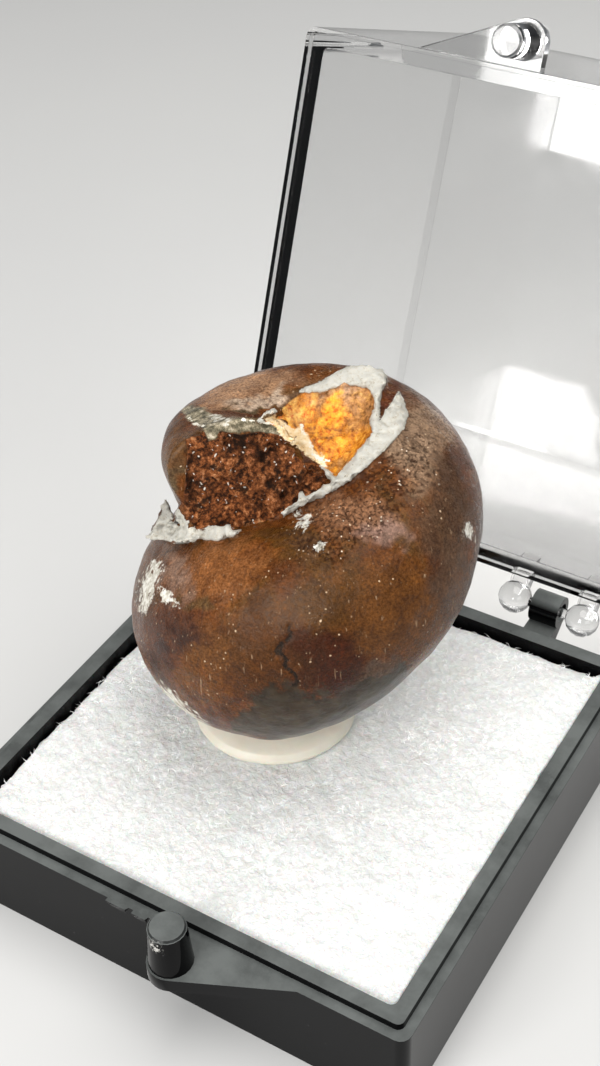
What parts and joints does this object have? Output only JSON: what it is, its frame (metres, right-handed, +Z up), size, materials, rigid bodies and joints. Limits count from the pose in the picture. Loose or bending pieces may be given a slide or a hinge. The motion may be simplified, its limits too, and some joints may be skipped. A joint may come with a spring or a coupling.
{
  "type": "fossil snail",
  "caption": "Fossil snail, an iron-brown natural cast with white shell crusts and a calcite hollow, set on putty on a white pad in a small black display box with a clear hinged lid.",
  "frame": {"origin": "centre of the tray's flat underside", "axes": "+Z up out of the tray, +Y from the latch wall to the hinge, +X to the right along the latch wall"},
  "size_m": [0.032, 0.0719, 0.0424],
  "materials": {
    "fossil": "polished iron-brown stone with matt broken face, white shell crusts and amber calcite",
    "putty": "smooth waxy off-white putty",
    "foam": "white fibrous padding",
    "tray": "glossy moulded black polystyrene",
    "lid": "clear glossy moulded polystyrene"
  },
  "bodies": {
    "base": {"base_tray": "tray", "foam_pad": "foam", "putty": "putty", "fossil_snail": "fossil"},
    "lid": {"lid": "lid"}
  },
  "joints": [
    {"name": "lid_hinge", "type": "hinge", "parent": "base", "child": "lid", "pos_m": [0, 0.0177, 0.0074], "axis": [-1, 0, 0], "range_deg": [-111.36, 92.6]}
  ]
}
